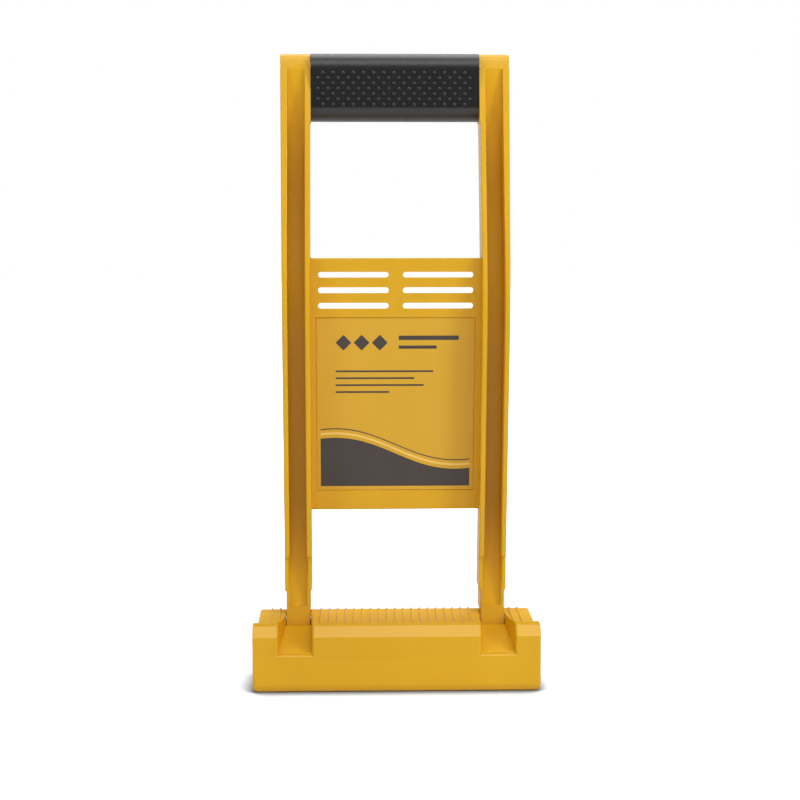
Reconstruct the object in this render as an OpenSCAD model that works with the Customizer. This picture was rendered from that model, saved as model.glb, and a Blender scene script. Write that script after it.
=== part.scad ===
// Panel carrier: a bowed handle frame on a foot that folds up on two hinge pins.
// Millimetres, +Z up, +Y away from the carried panel, origin under the middle of the foot.

/* [Foot] */
// Overhang of the nose past each end of the deck
nose_lip = 2.7; // [2:0.1:8]
// Depth of the wide part of the nose
nose_d = 13; // [11:0.5:16]
// Width of the ribbed deck across the carrier
deck_w = 165; // [158:1:166]
// Depth of the foot from the nose to the back
foot_d = 52; // [51:0.5:60]
// Height of the ribbed deck over the floor
deck_z = 39.5; // [38:0.5:42]
// Height of the nose rim over the deck
rim_h = 1; // [0.5:0.1:2]
// Depth of the rim on top of the nose
rim_d = 2.3; // [1.5:0.1:4]
// Drop of the small step in front of the rim
rim_step = 1.5; // [0.5:0.1:2]
// Depth of the bevel above the front face
bevel_d = 4.4; // [3:0.1:6]
// Height of the bevel above the front face
bevel_h = 5.9; // [3:0.1:7]
// Height of the brow, where the front face turns upright
brow_z = 20.5; // [14:0.5:26]
// Amount that the front face draws in from the bottom up to the brow
brow_in = 1.2; // [0.4:0.1:2]
// Radius of the lower edges and lower corners
edge_r = 5; // [3:0.1:6]
// Radius of the upper corners at the ends of the foot
crown_r = 2; // [1:0.1:2.5]
// Radius of the upright corners of the nose
corner_r = 2.5; // [2:0.1:5]
// Radius of the deck's back edge
back_r = 2.5; // [1:0.1:2.6]
// Wall of the foot
foot_wall = 3; // [2:0.1:3.5]
// Thickness of the cover under the foot
cover_t = 3; // [2.5:0.1:4]
// Pitch of the deck ribs
rib_pitch = 5; // [4:0.25:8]
// Width of a deck rib
rib_w = 1.4; // [0.8:0.1:2]
// Height of a rib over the deck
rib_h = 0.9; // [0.4:0.1:1.2]

/* [Legs] */
// Distance of each leg's middle from the deck's end
leg_inset = 23.8; // [21:0.1:26]
// Width of a leg
leg_w = 16.4; // [15.6:0.1:17]
// Width of the tongue that enters the foot
tongue_w = 14.5; // [13:0.1:15]
// Depth of a leg from front to back
leg_t = 22; // [19:0.5:24]
// Width of the channel in a leg
channel_w = 10.2; // [8:0.2:11]
// Web left behind the channel
web_t = 3; // [2:0.1:4]
// Height of the knee, where the two straight runs would meet
knee_z = 231; // [225:1:236]
// Distance of the knee behind the nose
knee_back = 11.5; // [11:0.1:12]
// Lean of the lower run towards the panel
low_lean = 7.5; // [7.2:0.05:7.8]
// Lean of the upper run away from the panel
up_lean = 13.2; // [11:0.1:16]
// Radius of the bend at the knee, on the front edges
knee_r = 150; // [100:1:200]
// Height of the legs
frame_z = 375.7; // [368:0.1:390]
// Radius of the top ends of the legs
top_r = 5; // [3:0.5:8]
// Height at which the front edges step back
step_z = 75; // [73:0.5:80]
// Depth of that step
step_d = 2; // [1.6:0.1:2.4]
// Height at which a leg narrows to its tongue
shoulder_z = 53.5; // [52:0.5:58]
// Height of the channel's lower end over the deck
channel_end = 5.2; // [4:0.1:8]
// Height at which the channel reaches its full depth
channel_low_z = 105; // [100:1:125]
// Height at which the channel starts to run out
channel_up_z = 303; // [290:1:310]
// Flare of the outer edges from the knee to the top
leg_flare = 1.2; // [0:0.1:2]
// Step at the top of each leg, towards the grip
head_w = 0.5; // [0.5:0.1:1.5]
// Setback of the head's front face behind the front edges
head_back = 1.2; // [0.5:0.1:2]
// Length of the head above the front edges
head_len = 10; // [8:0.5:14]
// Height at which the step towards the grip starts
head_z = 335; // [330:0.5:336]

/* [Plate] */
// Height of the plate's lower edge
plate_low_z = 102.3; // [98:0.1:110]
// Height of the plate's upper edge
plate_up_z = 255; // [250:0.5:258]
// Thickness of the plate
plate_t = 3; // [2:0.1:4]
// Setback of the plate behind the front edges of the lower run
plate_in = 15; // [12:0.5:17.5]
// Distance of the air slots from the legs
slot_margin = 4.6; // [3:0.1:12]
// Height of one air slot
slot_h = 3.4; // [2:0.1:5]
// Pitch of the air slots
slot_pitch = 9.2; // [8:0.1:10]
// Width of the bar between the two columns of slots
slot_bar = 8.4; // [5:0.1:10]
// Distance of the first slot from the plate's upper edge
slot_top = 9.8; // [6:0.1:10]
// Distance of the label's edges from the legs
label_margin = 3.5; // [1:0.1:12]
// Height of the label's lower edge
label_low_z = 114.6; // [112:0.1:125]
// Height of the label's upper edge
label_up_z = 219.4; // [180:0.1:220]
// Thickness of the label
label_t = 0.4; // [0.2:0.05:0.6]
// Depth of the recess for the label
recess_d = 0.8; // [0.6:0.1:1.2]
// Gap between the label and the recess's edges
recess_gap = 0.4; // [0.2:0.1:1]

/* [Grip] */
// Lean of the grip's section
grip_lean = 0; // [0:0.5:12]
// Height of the grip's section
grip_h = 40; // [38:0.1:42]
// Depth of the grip's section
grip_d = 24; // [22:0.5:28]
// Corner radius of the grip's section
grip_r = 10; // [7:0.5:10.5]
// Wall of the soft sleeve
sleeve_t = 4; // [3:0.25:5]
// Rise of the grip over the ends of the legs
grip_rise = 0; // [0:0.1:2]

/* [Hinge] */
// Radius of a hinge pin
pin_r = 1.75; // [1.5:0.05:1.9]
// Distance of the pin's axis under the deck
pin_down = 3; // [2.6:0.1:3.2]
// Distance of the pin's axis behind the front face of the tongue
pin_back = 3.2; // [3:0.1:3.6]
// Radius of the rounded lower end of the tongue
tongue_r = 11; // [9:0.25:11.25]
// Thickness of the inner cheek beside a tongue
cheek_in_t = 5.3; // [4.5:0.1:6]
// Depth of a pin in the inner cheek
pin_grip = 3; // [2:0.1:3.5]
// Outer reach of each notch in the nose, from the leg's middle
notch_out = 11.3; // [10.5:0.1:12]
// Radius of the notch's upper corners in the rim
notch_r = 2.2; // [1:0.1:3]
// Height of the notch's lip on the front of the nose
notch_lip_z = 22.4; // [22:0.2:26]
// Radius of the notch's edges on the front of the nose
notch_edge_r = 1.5; // [0.5:0.1:2]

/* [Screws] */
// Radius of a cover screw's shank
screw_r = 1.5; // [1.25:0.05:1.75]
// Radius of a cover screw's head
screw_head_r = 3.2; // [2.8:0.1:3.6]
// Length of a cover screw
screw_l = 14; // [10:0.5:18]
// Radius of the bosses that the screws enter
boss_r = 4; // [3.5:0.1:5]

/* [Hidden] */
$fn = 64;
bend_steps = 16;
corner_steps = 8;
edge_steps = 4;

// Clearances: a firm fit, a running fit, a fitted face, a moving gap, and an overshoot for cuts
firm_gap = 0.02;
run_gap = 0.08;
seat_gap = 0.1;
move_gap = 0.35;
over = 1;

moulded_yellow = [0.86, 0.64, 0.13];
soft_black = [0.14, 0.13, 0.13];
label_yellow = [0.88, 0.68, 0.19];
steel = [0.70, 0.71, 0.72];
sides = [-1, 1];

// Widths that follow the deck's width
nose_w = deck_w + 2 * nose_lip;
leg_x = deck_w / 2 - leg_inset;
leg_inner = leg_x - leg_w / 2;
slot_l = leg_inner - slot_margin - slot_bar / 2;
label_w = 2 * (leg_inner - label_margin);

// Foot: places along Y and Z
nose_y = -foot_d / 2;
back_y = foot_d / 2;
rim_z = deck_z + rim_h;
face_z = rim_z - rim_step - bevel_h;
brow_y = nose_y + brow_in;
rim_front_y = brow_y + bevel_d;
deck_front_y = rim_front_y + rim_d;
ceiling_z = deck_z - foot_wall;

// Bowed strip: directions of its two runs, the tangent points of the knee and its centre
low_dir = [sin(low_lean), -cos(low_lean)];
low_in = [cos(low_lean), sin(low_lean)];
up_dir = [sin(up_lean), cos(up_lean)];
up_in = [cos(up_lean), -sin(up_lean)];
knee = [nose_y + knee_back, knee_z];
knee_tan = knee_r * tan((low_lean + up_lean) / 2);
low_start = knee + knee_tan * low_dir;
up_start = knee + knee_tan * up_dir;
knee_centre = low_start + knee_r * low_in;
up_len = top_r + (frame_z - up_start[1] - top_r + top_r * sin(up_lean)) / cos(up_lean);

// Point on the front edge of the lower run at a height, and distance along the upper run
function low_front(z) = low_start + low_dir * (low_start[1] - z) / cos(low_lean);
function up_along(z) = (z - up_start[1]) / cos(up_lean);

// Hinge
pin_z = deck_z - pin_down;
tongue_y = low_front(step_z)[0] + step_d;
pin_y = tongue_y + pin_back;
tongue_back_y = pin_y + tongue_r;
pocket_w = tongue_w + 2 * move_gap;
cheek_in = leg_x - pocket_w / 2 - cheek_in_t;
notch_in = leg_w / 2 + move_gap + seat_gap;
notch_top = [tongue_y - move_gap, pin_z - pin_back - move_gap];
pin_start = leg_x - pocket_w / 2 - pin_grip;
pin_len = deck_w / 2 - 2 * move_gap - pin_start;

// Grip: middle of its section, in line with the upper run
grip_mid_z = frame_z + grip_rise - grip_h / 2;
grip_mid = [up_point(leg_t / 2, up_along(grip_mid_z) + leg_t / 2 * tan(up_lean))[0], grip_mid_z];
grip_len = 2 * (leg_inner - head_w - seat_gap);

// Hollows of the foot
end_out = deck_w / 2 - foot_wall;
hollow_y = brow_y + foot_wall;
block_floor_z = notch_lip_z - foot_wall;

// Screws: two rows of two, in the middle hollow
screw_x = cheek_in - boss_r - foot_wall;
screw_y = foot_d / 2 - foot_wall - boss_r - brow_in - 2 * over;
screw_places = [for (x = [-screw_x, screw_x], y = [-screw_y, screw_y]) [x, y]];

// Rib places: a field between the legs and two ribs outside each leg
rib_field = floor(cheek_in / rib_pitch) * rib_pitch;
rib_outer = ceil((leg_x + pocket_w / 2 + rib_w) / rib_pitch) * rib_pitch;
rib_end = deck_w / 2 - crown_r - rib_w;
rib_xs = concat([for (x = [-rib_field : rib_pitch : rib_field]) x],
                [for (side = sides, x = [rib_outer : rib_pitch : rib_end]) side * x]);

// Extrudes a side profile, drawn in Y and Z, across the carrier about x = mid
module across(width, mid = 0) {
    translate([mid - width / 2, 0, 0])
        rotate([90, 0, 90])
            linear_extrude(width) children();
}

// Extrudes a front outline, drawn in X and Z, right through the carrier
module through() {
    translate([0, frame_z, 0])
        rotate([90, 0, 0])
            linear_extrude(2 * frame_z) children();
}

// Rectangle with four round corners, from its lower left corner
module round_rect(size, r) {
    translate([r, 0]) square([size[0] - 2 * r, size[1]]);
    translate([0, r]) square([size[0], size[1] - 2 * r]);
    for (x = [r, size[0] - r], y = [r, size[1] - r])
        translate([x, y]) circle(r);
}

// Points along an arc about a centre, from one angle to another
function arc(centre, r, from, to, steps) =
    [for (n = [0 : steps], turn = from + (to - from) * n / steps) centre + r * [cos(turn), sin(turn)]];

// The knee's bend at a setback from the front edges, from the lower run to the upper one
function knee_bend(back) =
    arc(knee_centre, knee_r - back, 180 + low_lean, 180 - up_lean, bend_steps);

// Point at a setback and a distance along the upper run
function up_point(back, along) = up_start + up_in * back + up_dir * along;

// Point at a setback on the lower run at a height
function low_point(back, z) = low_front(z) + [back / cos(low_lean), 0];

// Side profile of a leg with its tongue
module leg_profile() {
    lift_z = deck_z + move_gap;
    top = up_len - top_r;
    polygon(concat(
        [[tongue_y, lift_z], [tongue_y, step_z], low_point(0, step_z)],
        knee_bend(0),
        [up_point(0, up_len - head_len), up_point(head_back, up_len - head_len)],
        arc(up_point(head_back + top_r, top), top_r, 180 - up_lean, 90 - up_lean, corner_steps),
        arc(up_point(leg_t - top_r, top), top_r, 90 - up_lean, -up_lean, corner_steps),
        [for (n = [bend_steps : -1 : 0]) knee_bend(leg_t)[n]],
        [low_point(leg_t, lift_z)]));
    intersection() {
        union() {
            translate([pin_y, pin_z]) circle(tongue_r);
            translate([tongue_y, pin_z]) square([tongue_back_y - tongue_y, shoulder_z - pin_z]);
        }
        translate([tongue_y, 0]) square([2 * leg_t, step_z]);
    }
}

// Front outline of a leg: narrow at the tongue, with a small step towards the grip at the top
module leg_outline(side) {
    half = leg_w / 2;
    slim = tongue_w / 2;
    ease = half - slim;
    head = half + head_w;
    outline = [[-slim, 0], [slim, 0], [slim, shoulder_z], [half, shoulder_z + ease],
               [half, knee_z], [half + leg_flare, frame_z], [half + leg_flare, 2 * frame_z],
               [-head, 2 * frame_z], [-head, head_z], [-half, head_z - head_w],
               [-half, shoulder_z + ease], [-slim, shoulder_z]];
    polygon([for (p = outline) [side * (leg_x + p[0]), p[1]]]);
}

// Side profile of the channel, deep in the middle and shallow at both ends
module channel_profile() {
    depth = leg_t - web_t;
    low_end_z = deck_z + channel_end;
    out_y = knee[0] - leg_t;
    run_out = up_point(head_back, up_len - head_len);
    polygon(concat(
        [[out_y, low_end_z], [tongue_y + web_t, low_end_z], low_point(depth, channel_low_z)],
        knee_bend(depth),
        [up_point(depth, up_along(channel_up_z)), run_out, up_point(-leg_t, up_len - head_len),
         [out_y, channel_up_z]]));
}

// Cylinder on the hinge axis, from one distance off the middle to another
module hinge_round(side, from, to, r) {
    translate([side * from, pin_y, pin_z])
        rotate([0, side * 90, 0]) cylinder(h = to - from, r = r);
}

// One leg with its channel, tongue and hinge bore
module leg(side) {
    difference() {
        intersection() {
            across(2 * leg_w, side * leg_x) leg_profile();
            through() leg_outline(side);
        }
        across(channel_w, side * leg_x) channel_profile();
        hinge_round(side, leg_x - leg_w, leg_x + leg_w, pin_r + run_gap);
    }
}

// Part of the plane along the lower run, between two heights and two setbacks
module low_slab(low_z, up_z, front, back) {
    intersection() {
        polygon([low_point(front, 0), low_point(back, 0),
                 low_point(back, frame_z), low_point(front, frame_z)]);
        translate([-frame_z, low_z]) square([2 * frame_z, up_z - low_z]);
    }
}

// Plate between the legs, with its air slots and the recess for the label
module plate() {
    first_z = plate_up_z - slot_top - slot_h / 2;
    difference() {
        across(2 * leg_inner + over) low_slab(plate_low_z, plate_up_z, plate_in, plate_in + plate_t);
        across(label_w + 2 * recess_gap)
            low_slab(label_low_z - recess_gap, label_up_z + recess_gap,
                     plate_in - over, plate_in + recess_d);
        for (side = sides, row = [0 : 2])
            through()
                translate([side * (slot_bar + slot_l) / 2 - slot_l / 2, first_z - row * slot_pitch])
                    slot_outline();
    }
}

// Outline of one air slot, with round ends
module slot_outline() {
    r = slot_h / 2;
    translate([r, 0]) square([slot_l - slot_h, slot_h]);
    for (x = [r, slot_l - r]) translate([x, r]) circle(r);
}

// Section of the grip, grown by an amount, in line with the upper run
module grip_section(grow) {
    size = [grip_d + 2 * grow, grip_h + 2 * grow];
    translate(grip_mid) rotate(-grip_lean) translate(-size / 2)
        round_rect(size, grip_r + grow);
}

module frame() {
    color(moulded_yellow) {
        for (side = sides) leg(side);
        plate();
        across(2 * leg_inner + over) grip_section(-sleeve_t - firm_gap);
    }
}

module grip_sleeve() {
    color(soft_black) across(grip_len) difference() {
        grip_section(0);
        grip_section(-sleeve_t);
    }
}

module label() {
    color(label_yellow) across(label_w)
        low_slab(label_low_z, label_up_z, plate_in + recess_d - label_t, plate_in + recess_d);
}

// Front outline of the foot at a width and a height
module foot_front(width, height) {
    translate([-width / 2 + edge_r, 0]) square([width - 2 * edge_r, height - crown_r]);
    translate([-width / 2, edge_r]) square([width, height - edge_r - crown_r]);
    translate([-width / 2 + crown_r, edge_r]) square([width - 2 * crown_r, height - edge_r]);
    for (side = sides) {
        translate([side * (width / 2 - edge_r), edge_r]) circle(edge_r);
        translate([side * (width / 2 - crown_r), height - crown_r]) circle(crown_r);
    }
}

// Side profile of the nose
module nose_profile() {
    polygon([[nose_y + edge_r, 0], [nose_y + edge_r, edge_r], [nose_y, edge_r], [brow_y, brow_z],
             [brow_y, face_z], [rim_front_y, face_z + bevel_h], [rim_front_y, rim_z],
             [deck_front_y, rim_z], [deck_front_y, deck_z], [nose_y + nose_d, deck_z],
             [nose_y + nose_d, 0]]);
    translate([nose_y + edge_r, edge_r]) circle(edge_r);
}

// Side profile of the deck
module deck_profile() {
    front = deck_front_y;
    depth = back_y - front;
    translate([front, 0]) square([depth - edge_r, edge_r + over]);
    translate([front, edge_r]) square([depth, deck_z - edge_r - back_r]);
    translate([front, edge_r]) square([depth - back_r, deck_z - edge_r]);
    translate([back_y - edge_r, edge_r]) circle(edge_r);
    translate([back_y - back_r, deck_z - back_r]) circle(back_r);
}

// Outside of the foot
module foot_outside() {
    intersection() {
        across(nose_w) nose_profile();
        through() foot_front(nose_w, rim_z);
        translate([-nose_w / 2, nose_y, 0])
            linear_extrude(2 * rim_z) round_rect([nose_w, foot_d], corner_r);
    }
    intersection() {
        across(deck_w) deck_profile();
        through() foot_front(deck_w, deck_z);
    }
}

// Ribs with round tops
module deck_ribs() {
    rib_r = rib_w / 2;
    rib_y = deck_front_y - rim_d / 2;
    rib_len = back_y - back_r - rib_y;
    for (x = rib_xs) translate([x, rib_y, deck_z]) {
        translate([-rib_r, 0, -over]) cube([rib_w, rib_len, rib_h - rib_r + over]);
        translate([0, 0, rib_h - rib_r]) rotate([-90, 0, 0]) cylinder(h = rib_len, r = rib_r);
    }
}

// Side profile of the main hollow under the deck
module deep_hollow() {
    polygon([[hollow_y, -over], [hollow_y, face_z - foot_wall],
             [deck_front_y + foot_wall, ceiling_z], [back_y - foot_wall, ceiling_z],
             [back_y - foot_wall, -over]]);
}

// Side profile of the lower hollows under the hinges
module shallow_hollow() {
    translate([hollow_y, -over])
        square([back_y - foot_wall - hollow_y, block_floor_z + over]);
}

module foot_hollows() {
    block_in = cheek_in + foot_wall;
    across(2 * cheek_in) deep_hollow();
    for (side = sides)
        across(end_out - block_in, side * (end_out + block_in) / 2) shallow_hollow();
}

// Outline of what is cut away to round an upper corner of the rim, beside a wall at x
module rim_corner(x, way) {
    translate([x, rim_z - notch_r]) difference() {
        translate([way > 0 ? -over : -notch_r, 0]) square([notch_r + over, notch_r + over]);
        translate([way * notch_r, 0]) circle(notch_r);
    }
}

// Pocket of one tongue and the flared, sloping notch in front of it
module leg_notch(side) {
    high = 2 * rim_z;
    lip_y = nose_y - over;
    slope = (notch_top[1] - notch_lip_z) / (notch_top[0] - nose_y);
    plan = [[-notch_in, notch_top[0]], [-notch_in, lip_y], [notch_out, lip_y],
            [notch_out, deck_front_y], [pocket_w / 2, notch_top[0]]];
    intersection() {
        linear_extrude(high) polygon([for (p = plan) [side * (leg_x + p[0]), p[1]]]);
        across(3 * leg_w, side * leg_x)
            polygon([[lip_y, notch_lip_z - over * slope], notch_top, [notch_top[0], high], [lip_y, high]]);
    }
    intersection() {
        through() {
            rim_corner(side * (leg_x - notch_in), -side);
            rim_corner(side * (leg_x + notch_out), side);
        }
        translate([-nose_w, lip_y, 0]) cube([2 * nose_w, deck_front_y - lip_y, high]);
    }
    across(pocket_w, side * leg_x) {
        intersection() {
            translate([pin_y, pin_z]) circle(tongue_r + move_gap);
            translate([notch_top[0], 0]) square([2 * leg_t, high]);
        }
        translate([notch_top[0] - seat_gap, pin_z])
            square([tongue_back_y + move_gap - notch_top[0] + seat_gap, high]);
    }
}

// Outline of what is cut to round a square edge, where the solid lies at x < 0 and y > 0
module edge_cut() {
    r = notch_edge_r;
    polygon(concat([[-r, -over], [over, -over], [over, r]], arc([-r, r], r, 0, -90, edge_steps)));
}

// Rounds the front edge of a notch wall at x from a height up, with the notch on the side of way
module wall_edge(x, way, low_z) {
    translate([x, brow_y, 0]) mirror([way < 0 ? 1 : 0, 0, 0]) {
        translate([0, 0, low_z]) linear_extrude(face_z - low_z) edge_cut();
        translate([0, 0, face_z]) rotate([-atan2(bevel_d, bevel_h), 0, 0])
            linear_extrude(norm([bevel_d, bevel_h])) edge_cut();
    }
}

// Rounds the front edge of a notch's lip, over a width about x = mid
module lip_edge(width, mid) {
    across(width, mid) translate([brow_y, notch_lip_z]) mirror([1, -1]) edge_cut();
}

// Rounds the edges of one notch on the front of the nose, with mitred lower corners
module notch_edges(side) {
    mid = side * (leg_x + (notch_out - notch_in) / 2);
    width = notch_in + notch_out;
    lip_edge(width, mid);
    for (way = sides) {
        wall = mid - way * width / 2;
        wall_edge(wall, way, notch_lip_z);
        intersection() {
            wall_edge(wall, way, notch_lip_z - notch_edge_r);
            lip_edge(2 * width, mid);
        }
    }
}

// Outline of the cover's seat, drawn in X and Y
module cover_outline(gap) {
    translate([-end_out + gap, hollow_y + gap])
        square([2 * (end_out - gap), back_y - foot_wall - hollow_y - 2 * gap]);
}

module foot_shell() {
    color(moulded_yellow) difference() {
        union() {
            difference() {
                foot_outside();
                foot_hollows();
            }
            deck_ribs();
            for (p = screw_places)
                translate([p[0], p[1], cover_t]) cylinder(h = ceiling_z - cover_t + over, r = boss_r);
        }
        translate([0, 0, -over]) linear_extrude(cover_t + over) cover_outline(0);
        for (p = screw_places)
            translate([p[0], p[1], 0]) cylinder(h = screw_l + over, r = screw_r + firm_gap);
        for (side = sides) {
            leg_notch(side);
            notch_edges(side);
            hinge_round(side, pin_start - move_gap, deck_w / 2 + over, pin_r + firm_gap);
        }
    }
}

module foot_cover() {
    color(moulded_yellow) difference() {
        linear_extrude(cover_t - seat_gap) cover_outline(seat_gap);
        for (p = screw_places) translate([p[0], p[1], 0]) {
            translate([0, 0, -over]) cylinder(h = cover_t + 2 * over, r = screw_r + seat_gap);
            cylinder(h = screw_head_r - screw_r, r1 = screw_head_r + seat_gap, r2 = screw_r + seat_gap);
        }
    }
}

module cover_screws() {
    color(steel) for (p = screw_places) translate([p[0], p[1], 0]) {
        cylinder(h = screw_head_r - screw_r, r1 = screw_head_r, r2 = screw_r);
        cylinder(h = screw_l, r = screw_r);
    }
}

module hinge_pin_left() {
    color(steel) hinge_round(-1, pin_start, pin_start + pin_len, pin_r);
}

module hinge_pin_right() {
    color(steel) hinge_round(1, pin_start, pin_start + pin_len, pin_r);
}

frame();
grip_sleeve();
label();
foot_shell();
foot_cover();
cover_screws();
hinge_pin_left();
hinge_pin_right();
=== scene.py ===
"""Looks of the panel carrier: yellow mouldings, a soft black grip and a plain printed label."""
import math

import bmesh
import bpy
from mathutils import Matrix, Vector

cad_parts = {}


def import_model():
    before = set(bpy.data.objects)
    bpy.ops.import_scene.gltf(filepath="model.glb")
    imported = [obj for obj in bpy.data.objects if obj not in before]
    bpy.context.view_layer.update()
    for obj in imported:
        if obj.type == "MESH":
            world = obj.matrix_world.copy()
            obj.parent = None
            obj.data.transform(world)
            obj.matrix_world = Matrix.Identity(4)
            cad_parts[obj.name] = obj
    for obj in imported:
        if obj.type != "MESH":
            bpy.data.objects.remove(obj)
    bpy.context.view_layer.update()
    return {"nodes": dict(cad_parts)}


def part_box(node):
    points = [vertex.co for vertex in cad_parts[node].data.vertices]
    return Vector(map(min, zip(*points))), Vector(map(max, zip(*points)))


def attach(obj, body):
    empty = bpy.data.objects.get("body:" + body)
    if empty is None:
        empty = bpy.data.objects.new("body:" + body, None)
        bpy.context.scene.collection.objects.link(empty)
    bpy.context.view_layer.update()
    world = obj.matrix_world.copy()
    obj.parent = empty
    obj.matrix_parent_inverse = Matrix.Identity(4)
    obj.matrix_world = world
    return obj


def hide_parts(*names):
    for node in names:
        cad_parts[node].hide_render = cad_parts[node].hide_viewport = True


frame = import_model()

MM = 0.001
WHITE = (1, 1, 1, 1)

# Frame: rounding of its outer edges, and its shares at the label's recess and at the heads
EDGE_FRAME = 0.9 * MM
EDGE_SEGMENTS = 3
RECESS_SHARE = 0.35
RECESS_ROOM = 1.5 * MM
HEAD_SHARE = 0.5
HEAD_ROOM = 2 * MM

# Frame: angle of a sharp edge, length under which an edge is too fine to round, reach of the weld
SHARP_ANGLE = math.radians(28)
FINE_EDGE = 0.5 * MM
WELD = 0.15 * MM

# Grip: the field of nubs on its front, and the shape of one nub
NUB_ROWS = 7
NUB_ROW_PITCH = 3.1 * MM
NUB_PITCH = 6 * MM
NUB_MARGIN = 4.1 * MM
NUB_DROP = 1.2 * MM
NUB_RADIUS = 1.35 * MM
NUB_HEIGHT = 0.75 * MM
NUB_SINK = 0.05 * MM
NUB_SLACK = 0.01 * MM
NUB_SIDES = 14
NUB_RINGS = 4
NUB_SHARP = math.radians(70)

# Grip: where its smooth bands end, as shares of its height, and the gloss of bands and field
BAND_LOW = 0.175
BAND_HIGH = 0.8
BAND_BLEND = 0.04
BAND_GLOSS = (0.74, 0.23, 0.36)

# Deck: how far up a face looks where it starts and ends turning dull, and how rough it is then
DULL_START = 0.8
DULL_END = 0.95
DULL_ROUGH = 0.7

# Label: thickness of the film and of the ink on it, and the rounds that find the film's lean
FILM = 0.4 * MM
INK = 0.05 * MM
LEAN_ROUNDS = 3

# Label: its print, in fractions of its width and height
ART_EDGE = 0.022
WAVE_STEPS = 28
WAVE_LOW = 0.13
WAVE_FALL = 0.17
WAVE_SWING = 0.02
LINE_GAPS_AND_WIDTHS = ((0.02, 0.012), (0.05, 0.006))
LOZENGES = 3
LOZENGE_U = 0.17
LOZENGE_V = 0.86
LOZENGE_PITCH = 0.115
LOZENGE_HALF_U = 0.05
LOZENGE_HALF_V = 0.045
TOP_BARS = ((0.52, 0.875, 0.9, 0.9), (0.52, 0.825, 0.76, 0.843))
BAR_U = 0.12
BAR_V = 0.69
BAR_PITCH = 0.04
BAR_THICK = 0.01
BAR_LENGTHS = (0.62, 0.5, 0.56, 0.34)

# Noise: the span of its values that is used, its detail by use, the drift's stretch along the
# three axes, and how many times finer gloss varies than colour
NOISE_LOW = 0.3
NOISE_HIGH = 0.7
DRIFT_DETAIL = 4.0
GLOSS_DETAIL = 5.0
GRAIN_DETAIL = 2.0
DRIFT_STRETCH = (1, 1, 0.4)
GLOSS_FINER = 9

# Floor: its size, its colour and finish in light, and its colour to the camera
FLOOR_SIZE = 12.0
FLOOR_COLOUR = (0.9, 0.9, 0.9, 1)
FLOOR_ROUGH = 0.8
FLOOR_SPECULAR = 0.1
FLOOR_SEEN = (1.3, 1.45, 1.65)

# Floor: reach and depth of the painted contact shade, the open shares where it is full and ends,
# samples
CONTACT_REACH = 16 * MM
CONTACT_SHADE = 0.26
CONTACT_FULL = 0.5
CONTACT_END = 0.9
CONTACT_SAMPLES = 16

# Floor: where it starts and ends its rise to plain white
SHADOW_NEAR = 0.18
SHADOW_FAR = 0.6

# Light: the fill, the point that the soft boxes face, and their place, width, height and power
FILL = 0.17
AIM = (0, 0, 0.2)
LAMPS = {
    "right": ((1.2, -1.0, 0.95), 0.5, 1.4, 12),
    "left": ((-1.2, -1.0, 0.95), 0.5, 1.4, 5.5),
    "top_front": ((0.15, -1.0, 1.75), 1.1, 1.1, 14),
    "top_back": ((0.1, 0.7, 1.8), 1.3, 1.3, 16.5),
}

# Camera, fitted to the photograph
LENS_MM = 82.77
SENSOR_MM = 36
CLIP = (0.01, 50)
CAMERA_AT = Vector((-29.5, -1087.2, 283.8)) * MM
CAMERA_YAW = math.radians(1.685)
CAMERA_PITCH = math.radians(5.929)


def linear(srgb):
    """Linear colour with alpha from sRGB values of 0 to 255."""
    out = []
    for value in srgb:
        c = value / 255
        out.append(c / 12.92 if c <= 0.04045 else ((c + 0.055) / 1.055) ** 2.4)
    return (*out, 1.0)


# Materials

def new_material(name):
    """A material with its node tree and its shader."""
    material = bpy.data.materials.new(name)
    material.use_nodes = True
    tree = material.node_tree
    return material, tree, tree.nodes["Principled BSDF"]


def noise(tree, scale, detail, stretch=(1, 1, 1)):
    """Noise in object space, in cycles a metre."""
    coord = tree.nodes.new("ShaderNodeTexCoord")
    mapping = tree.nodes.new("ShaderNodeMapping")
    mapping.inputs["Scale"].default_value = stretch
    node = tree.nodes.new("ShaderNodeTexNoise")
    node.inputs["Scale"].default_value = scale
    node.inputs["Detail"].default_value = detail
    tree.links.new(coord.outputs["Object"], mapping.inputs["Vector"])
    tree.links.new(mapping.outputs["Vector"], node.inputs["Vector"])
    return node.outputs["Fac"]


def ramp(tree, source, low, high):
    """Colours between low and high, by noise."""
    node = tree.nodes.new("ShaderNodeValToRGB")
    first, last = node.color_ramp.elements
    first.position, first.color = NOISE_LOW, low
    last.position, last.color = NOISE_HIGH, high
    tree.links.new(source, node.inputs["Fac"])
    return node.outputs["Color"]


def graded(tree, source, start, end, low=0.0, high=1.0, smooth=False):
    """A number from low to high, as a source goes from start to end."""
    node = tree.nodes.new("ShaderNodeMapRange")
    if smooth:
        node.interpolation_type = "SMOOTHSTEP"
    node.inputs["From Min"].default_value = start
    node.inputs["From Max"].default_value = end
    node.inputs["To Min"].default_value = low
    node.inputs["To Max"].default_value = high
    tree.links.new(source, node.inputs["Value"])
    return node.outputs["Result"]


def height_of(tree, space):
    """The upward part of a coordinate of the surface."""
    coord = tree.nodes.new("ShaderNodeTexCoord")
    split = tree.nodes.new("ShaderNodeSeparateXYZ")
    tree.links.new(coord.outputs[space], split.inputs["Vector"])
    return split.outputs["Z"]


def bump(tree, shader, source, strength, distance):
    """Relief from a source, on the shader's normal."""
    node = tree.nodes.new("ShaderNodeBump")
    node.inputs["Strength"].default_value = strength
    node.inputs["Distance"].default_value = distance
    tree.links.new(source, node.inputs["Height"])
    tree.links.new(node.outputs["Normal"], shader.inputs["Normal"])


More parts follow.
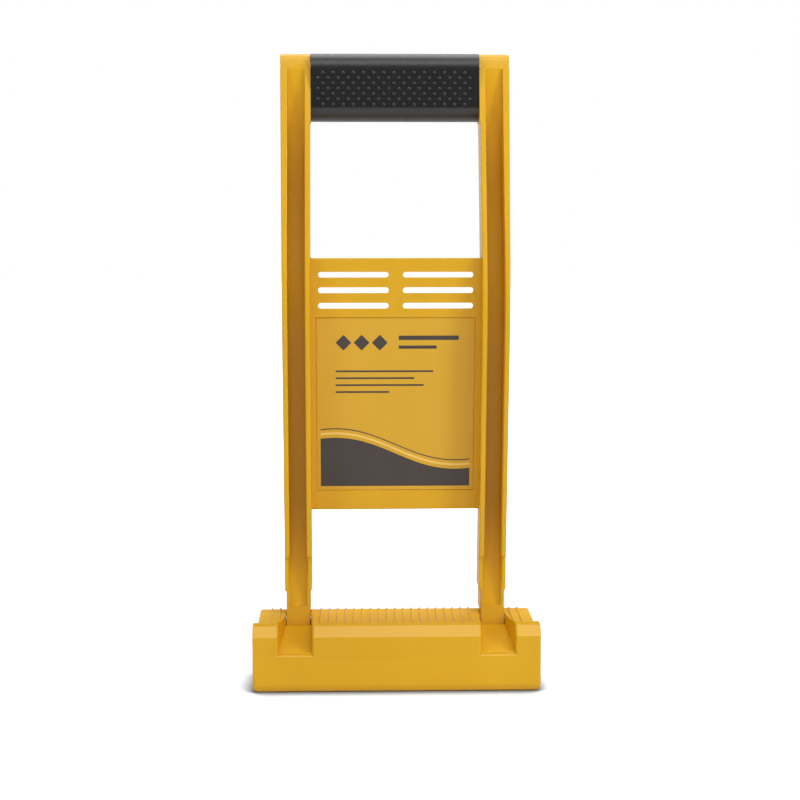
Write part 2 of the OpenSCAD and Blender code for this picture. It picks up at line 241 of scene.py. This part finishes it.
def grained(name, low, high, rough, grain, relief, blotch=22.0, specular=0.5):
    """A plastic or rubber with slow colour drift, uneven gloss and a fine moulded grain."""
    material, tree, shader = new_material(name)
    drift = noise(tree, blotch, DRIFT_DETAIL, stretch=DRIFT_STRETCH)
    tree.links.new(ramp(tree, drift, linear(low), linear(high)), shader.inputs["Base Color"])
    gloss = noise(tree, blotch * GLOSS_FINER, GLOSS_DETAIL)
    tree.links.new(graded(tree, gloss, NOISE_LOW, NOISE_HIGH, *rough), shader.inputs["Roughness"])
    bump(tree, shader, noise(tree, grain, GRAIN_DETAIL), *relief)
    shader.inputs["Specular IOR Level"].default_value = specular
    return material


def banded(material, gloss):
    """Gloss by height: a smooth low band, a dull field with the nubs, a smooth top band."""
    low, field, high = gloss
    tree = material.node_tree
    node = tree.nodes.new("ShaderNodeValToRGB")
    stops = node.color_ramp.elements
    stops[0].position = BAND_LOW
    stops[1].position = BAND_HIGH + BAND_BLEND
    stops.new(BAND_LOW + BAND_BLEND)
    stops.new(BAND_HIGH)
    for stop, level in zip(stops, (low, field, field, high)):
        stop.color = (level, level, level, 1)
    tree.links.new(height_of(tree, "Generated"), node.inputs["Fac"])
    shader = tree.nodes["Principled BSDF"]
    tree.links.new(node.outputs["Color"], shader.inputs["Specular IOR Level"])


def dulled(material, rough):
    """Duller faces where the moulding looks up, as on the ribbed deck."""
    tree = material.node_tree
    gloss = tree.nodes["Principled BSDF"].inputs["Roughness"]
    source = gloss.links[0].from_socket
    facing = graded(tree, height_of(tree, "Normal"), DULL_START, DULL_END)
    mix = tree.nodes.new("ShaderNodeMix")
    mix.inputs["B"].default_value = rough
    tree.links.new(facing, mix.inputs["Factor"])
    tree.links.new(source, mix.inputs["A"])
    tree.links.new(mix.outputs["Result"], gloss)


yellow = grained("moulded_yellow", (217, 164, 12), (223, 171, 18), rough=(0.30, 0.36),
                 grain=1500, relief=(0.05, 0.05 * MM), specular=0.35)
black = grained("soft_black", (15, 14, 14), (20, 18, 18), rough=(0.30, 0.42),
                grain=2600, relief=(0.25, 0.08 * MM), blotch=40, specular=0.3)
worn = grained("soft_black_worn", (13, 12, 12), (18, 16, 16), rough=(0.20, 0.30),
               grain=2600, relief=(0.08, 0.04 * MM), blotch=40, specular=0.4)
film = grained("label_film", (215, 165, 35), (219, 170, 43), rough=(0.34, 0.46),
               grain=700, relief=(0.03, 0.02 * MM), specular=0.4)
ink = grained("label_ink", (58, 49, 44), (66, 57, 51), rough=(0.34, 0.46),
              grain=900, relief=(0.03, 0.02 * MM))
pale = grained("label_pale", (238, 198, 96), (242, 205, 110), rough=(0.30, 0.42),
               grain=900, relief=(0.03, 0.02 * MM))
steel = grained("steel", (176, 178, 180), (192, 194, 196), rough=(0.24, 0.38),
                grain=1800, relief=(0.08, 0.02 * MM))
steel.node_tree.nodes["Principled BSDF"].inputs["Metallic"].default_value = 1.0
banded(black, BAND_GLOSS)
dulled(yellow, DULL_ROUGH)


# Pieces

def added(name, data):
    """A new object in the scene."""
    made = bpy.data.objects.new(name, data)
    bpy.context.scene.collection.objects.link(made)
    return made


def as_mesh(name, bm):
    """A mesh from a finished edit mesh."""
    mesh = bpy.data.meshes.new(name)
    bm.to_mesh(mesh)
    bm.free()
    return mesh


def place(name, mesh, body, material):
    """A new piece that rides on a body and takes its finish from a slot."""
    piece = added(name, mesh)
    mesh.materials.append(material)
    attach(piece, body)
    return piece


def beside(edge, node, reach):
    """Whether an edge lies in the box of another node, or as close to it as the reach."""
    low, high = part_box(node)
    room = Vector((reach, reach, reach))
    return all(a < c < b for vert in edge.verts
               for a, c, b in zip(low - room, vert.co, high + room))


def soften(bm):
    """Marks outer edges that a mould rounds: less at recess and heads, none beside edges too fine
    to round.
    """
    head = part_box("grip_sleeve")[0].z - HEAD_ROOM
    weight = bm.edges.layers.float.new("bevel_weight_edge")
    sharp = [edge for edge in bm.edges if abs(edge.calc_face_angle_signed()) > SHARP_ANGLE]
    fine = {vert for edge in sharp if edge.calc_length() < FINE_EDGE for vert in edge.verts}
    for edge in sharp:
        if edge.calc_face_angle_signed() < 0 or fine.intersection(edge.verts):
            continue
        if beside(edge, "label", RECESS_ROOM):
            edge[weight] = RECESS_SHARE
        else:
            edge[weight] = HEAD_SHARE if any(vert.co.z > head for vert in edge.verts) else 1.0


def rounded(node, body, material):
    """The CAD node's own shape, with its outer edges rounded as a mould leaves them."""
    bm = bmesh.new()
    bm.from_mesh(frame["nodes"][node].data)
    bmesh.ops.remove_doubles(bm, verts=bm.verts, dist=WELD)
    soften(bm)
    mesh = as_mesh(node + "_moulded", bm)
    if "custom_normal" in mesh.attributes:
        mesh.attributes.remove(mesh.attributes["custom_normal"])
    mesh.shade_smooth()
    mesh.set_sharp_from_angle(angle=SHARP_ANGLE)
    piece = place(node + "_moulded", mesh, body, material)
    rounding = piece.modifiers.new("edges", "BEVEL")
    rounding.width = EDGE_FRAME
    rounding.segments = EDGE_SEGMENTS
    rounding.limit_method = "WEIGHT"
    rounding.use_clamp_overlap = False
    rounding.harden_normals = True
    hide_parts(node)


def finished(node, material):
    """A CAD node that keeps its own shape and takes a fuller material."""
    materials = frame["nodes"][node].data.materials
    materials.clear()
    materials.append(material)


rounded("frame", "frame", yellow)
finished("foot_shell", yellow)
finished("foot_cover", yellow)
finished("grip_sleeve", black)
finished("label", film)
for name in ("hinge_pin_left", "hinge_pin_right", "cover_screws"):
    finished(name, steel)


# Grip: its nubs

def nub(bm, at, right, up, out):
    """One low dome on the grip, closed underneath."""
    rings = []
    for ring in range(NUB_RINGS):
        lean = math.radians(90) * ring / NUB_RINGS
        radius = NUB_RADIUS * math.cos(lean)
        height = NUB_HEIGHT * math.sin(lean)
        rings.append([
            bm.verts.new(at + out * height
                         + radius * (right * math.cos(turn) + up * math.sin(turn)))
            for turn in (2 * math.pi * n / NUB_SIDES for n in range(NUB_SIDES))
        ])
    top = bm.verts.new(at + out * NUB_HEIGHT)
    for low, high in zip(rings, rings[1:]):
        for n in range(NUB_SIDES):
            m = (n + 1) % NUB_SIDES
            bm.faces.new((low[n], low[m], high[m], high[n]))
    for n in range(NUB_SIDES):
        bm.faces.new((rings[-1][n], rings[-1][(n + 1) % NUB_SIDES], top))
    bm.faces.new(list(reversed(rings[0])))


def grip_nubs():
    """Staggered rows of nubs on the front of the grip."""
    low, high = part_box("grip_sleeve")
    middle = (low + high) / 2
    right = Vector((1, 0, 0))
    up = Vector((0, 0, 1))
    out = Vector((0, -1, 0))
    face = Vector((middle.x, low.y + NUB_SINK, middle.z - NUB_DROP))
    reach = (high.x - low.x) / 2 - NUB_MARGIN
    bm = bmesh.new()
    for row in range(NUB_ROWS):
        rise = (row - (NUB_ROWS - 1) / 2) * NUB_ROW_PITCH
        x = -reach + ((row + 1) % 2) * NUB_PITCH / 2
        while x <= reach + NUB_SLACK:
            nub(bm, face + right * x + up * rise, right, up, out)
            x += NUB_PITCH
    mesh = as_mesh("grip_nubs", bm)
    mesh.shade_smooth()
    mesh.set_sharp_from_angle(angle=NUB_SHARP)
    place("grip_nubs", mesh, "frame", worn)


grip_nubs()


# Label: a plain film with a band, lines, lozenges and bars in place of any print

label_low, label_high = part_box("label")
label_w = label_high.x - label_low.x
label_rise = label_high.z - label_low.z
label_run = label_high.y - label_low.y
# The box holds the film's thickness too, so the lean is found in a few steps
label_lean = math.atan2(label_run, label_rise)
for _ in range(LEAN_ROUNDS):
    label_lean = math.atan2(label_run - FILM / math.cos(label_lean), label_rise)
label_h = label_rise / math.cos(label_lean)
label_up = Vector((0, -math.sin(label_lean), math.cos(label_lean)))
label_out = Vector((0, -math.cos(label_lean), -math.sin(label_lean)))
label_foot = Vector((0, label_high.y - FILM / math.cos(label_lean), label_low.z))


def on_label(u, v, lift):
    """Point on the label, by fractions of its width and height from the lower left corner."""
    across = Vector(((u - 0.5) * label_w, 0, 0))
    return label_foot + across + label_up * (v * label_h) + label_out * lift


def printed(name, outlines, material):
    """Closed thin prisms on the label, from outlines in fractions of its width and height."""
    bm = bmesh.new()
    for outline in outlines:
        under = [bm.verts.new(on_label(u, v, 0)) for u, v in outline]
        over = [bm.verts.new(on_label(u, v, INK)) for u, v in outline]
        bm.faces.new(over)
        bm.faces.new(list(reversed(under)))
        for n in range(len(outline)):
            m = (n + 1) % len(outline)
            bm.faces.new((under[n], under[m], over[m], over[n]))
    bmesh.ops.recalc_face_normals(bm, faces=bm.faces)
    place(name, as_mesh(name, bm), "frame", material)


def bar(u0, v0, u1, v1):
    """Outline of a bar between two corners."""
    return [(u0, v0), (u1, v0), (u1, v1), (u0, v1)]


def lozenge(u, v):
    """Outline of a lozenge about its middle."""
    return [(u - LOZENGE_HALF_U, v), (u, v - LOZENGE_HALF_V),
            (u + LOZENGE_HALF_U, v), (u, v + LOZENGE_HALF_V)]


def swell(u):
    """Height of the dark band's upper edge: high at the left, falling in one soft wave."""
    fall = WAVE_FALL * (0.5 + 0.5 * math.cos(math.pi * u))
    return WAVE_LOW + fall + WAVE_SWING * math.sin(2 * math.pi * u)


def label_art():
    """Dark swelling band below, a pale and a dark line along it, lozenges and bars above."""
    us = [ART_EDGE + (1 - 2 * ART_EDGE) * n / WAVE_STEPS for n in range(WAVE_STEPS + 1)]
    base = [(us[0], ART_EDGE), (us[-1], ART_EDGE)]
    printed("label_band", [base + [(u, swell(u)) for u in reversed(us)]], ink)
    for n, ((gap, width), colour) in enumerate(zip(LINE_GAPS_AND_WIDTHS, (pale, ink))):
        lower = [(u, swell(u) + gap) for u in us]
        upper = [(u, swell(u) + gap + width) for u in reversed(us)]
        printed(f"label_line_{n}", [lower + upper], colour)
    lozenges = [lozenge(LOZENGE_U + LOZENGE_PITCH * n, LOZENGE_V) for n in range(LOZENGES)]
    printed("label_lozenges", lozenges, ink)
    bars = [bar(*corners) for corners in TOP_BARS]
    for n, length in enumerate(BAR_LENGTHS):
        v = BAR_V - BAR_PITCH * n
        bars.append(bar(BAR_U, v, BAR_U + length, v + BAR_THICK))
    printed("label_bars", bars, ink)


label_art()


# Stage, light and camera

def painted_contact_shade(tree):
    """The floor's colour to the camera: white in the open, darkened by painted shade where the
    object stands on it.
    """
    sky = tree.nodes.new("ShaderNodeAmbientOcclusion")
    sky.samples = CONTACT_SAMPLES
    sky.inputs["Distance"].default_value = CONTACT_REACH
    # Painted shade: ambient occlusion darkens the floor's camera colour near the object, on top
    # of its real shadow
    level = graded(tree, sky.outputs["AO"], CONTACT_FULL, CONTACT_END, CONTACT_SHADE, 1.0)
    tint = tree.nodes.new("ShaderNodeVectorMath")
    tint.operation = "SCALE"
    tint.inputs[0].default_value = FLOOR_SEEN
    tree.links.new(level, tint.inputs["Scale"])
    return tint.outputs["Vector"]


def far_glow(tree):
    """Rises from nothing beside the object to plain white far from it."""
    coord = tree.nodes.new("ShaderNodeTexCoord")
    away = tree.nodes.new("ShaderNodeVectorMath")
    away.operation = "LENGTH"
    tree.links.new(coord.outputs["Object"], away.inputs[0])
    return graded(tree, away.outputs["Value"], SHADOW_NEAR, SHADOW_FAR, smooth=True)


def floor():
    """A pale floor with the object's real soft shadow and a painted contact shade, which the
    camera sees whiter away from the contact.
    """
    mesh = bpy.data.meshes.new("floor")
    half = FLOOR_SIZE / 2
    corners = [(-half, -half, 0), (half, -half, 0), (half, half, 0), (-half, half, 0)]
    mesh.from_pydata(corners, [], [(0, 1, 2, 3)])
    piece = added("floor", mesh)
    material, tree, shader = new_material("floor")
    shader.inputs["Base Color"].default_value = FLOOR_COLOUR
    shader.inputs["Roughness"].default_value = FLOOR_ROUGH
    shader.inputs["Specular IOR Level"].default_value = FLOOR_SPECULAR
    seen = tree.nodes.new("ShaderNodeBsdfDiffuse")
    glow = tree.nodes.new("ShaderNodeEmission")
    both = tree.nodes.new("ShaderNodeAddShader")
    path = tree.nodes.new("ShaderNodeLightPath")
    pick = tree.nodes.new("ShaderNodeMixShader")
    tree.links.new(painted_contact_shade(tree), seen.inputs["Color"])
    tree.links.new(far_glow(tree), glow.inputs["Strength"])
    tree.links.new(seen.outputs["BSDF"], both.inputs[0])
    tree.links.new(glow.outputs["Emission"], both.inputs[1])
    tree.links.new(path.outputs["Is Camera Ray"], pick.inputs["Fac"])
    tree.links.new(shader.outputs["BSDF"], pick.inputs[1])
    tree.links.new(both.outputs["Shader"], pick.inputs[2])
    tree.links.new(pick.outputs["Shader"], tree.nodes["Material Output"].inputs["Surface"])
    mesh.materials.append(material)


def world():
    """White to the camera and in reflections, and a plain soft fill on the object."""
    studio = bpy.data.worlds.new("studio")
    bpy.context.scene.world = studio
    studio.use_nodes = True
    tree = studio.node_tree
    shade = tree.nodes["Background"]
    shade.inputs["Color"].default_value = WHITE
    shade.inputs["Strength"].default_value = FILL
    white = tree.nodes.new("ShaderNodeBackground")
    white.inputs["Color"].default_value = WHITE
    white.inputs["Strength"].default_value = 1.0
    path = tree.nodes.new("ShaderNodeLightPath")
    seen = path.outputs["Is Camera Ray"]
    for ray in ("Is Glossy Ray", "Is Transmission Ray"):
        either = tree.nodes.new("ShaderNodeMath")
        either.operation = "MAXIMUM"
        tree.links.new(seen, either.inputs[0])
        tree.links.new(path.outputs[ray], either.inputs[1])
        seen = either.outputs["Value"]
    pick = tree.nodes.new("ShaderNodeMixShader")
    tree.links.new(seen, pick.inputs["Fac"])
    tree.links.new(shade.outputs["Background"], pick.inputs[1])
    tree.links.new(white.outputs["Background"], pick.inputs[2])
    tree.links.new(pick.outputs["Shader"], tree.nodes["World Output"].inputs["Surface"])


def lamp(name, at, wide, tall, power):
    """A soft box at a place, turned to the middle of the object."""
    data = bpy.data.lights.new(name, "AREA")
    data.shape = "RECTANGLE"
    data.size = wide
    data.size_y = tall
    data.energy = power
    light = added(name, data)
    light.location = at
    light.rotation_euler = (Vector(AIM) - Vector(at)).to_track_quat("-Z", "Y").to_euler()


def camera():
    """The camera of the photograph."""
    data = bpy.data.cameras.new("camera")
    data.lens = LENS_MM
    data.sensor_width = SENSOR_MM
    data.clip_start, data.clip_end = CLIP
    eye = added("camera", data)
    eye.location = CAMERA_AT
    eye.rotation_euler = (math.radians(90) - CAMERA_PITCH, 0, -CAMERA_YAW)
    bpy.context.scene.camera = eye


floor()
world()
for name, settings in LAMPS.items():
    lamp(name, *settings)
camera()
bpy.context.scene.view_settings.view_transform = "Standard"
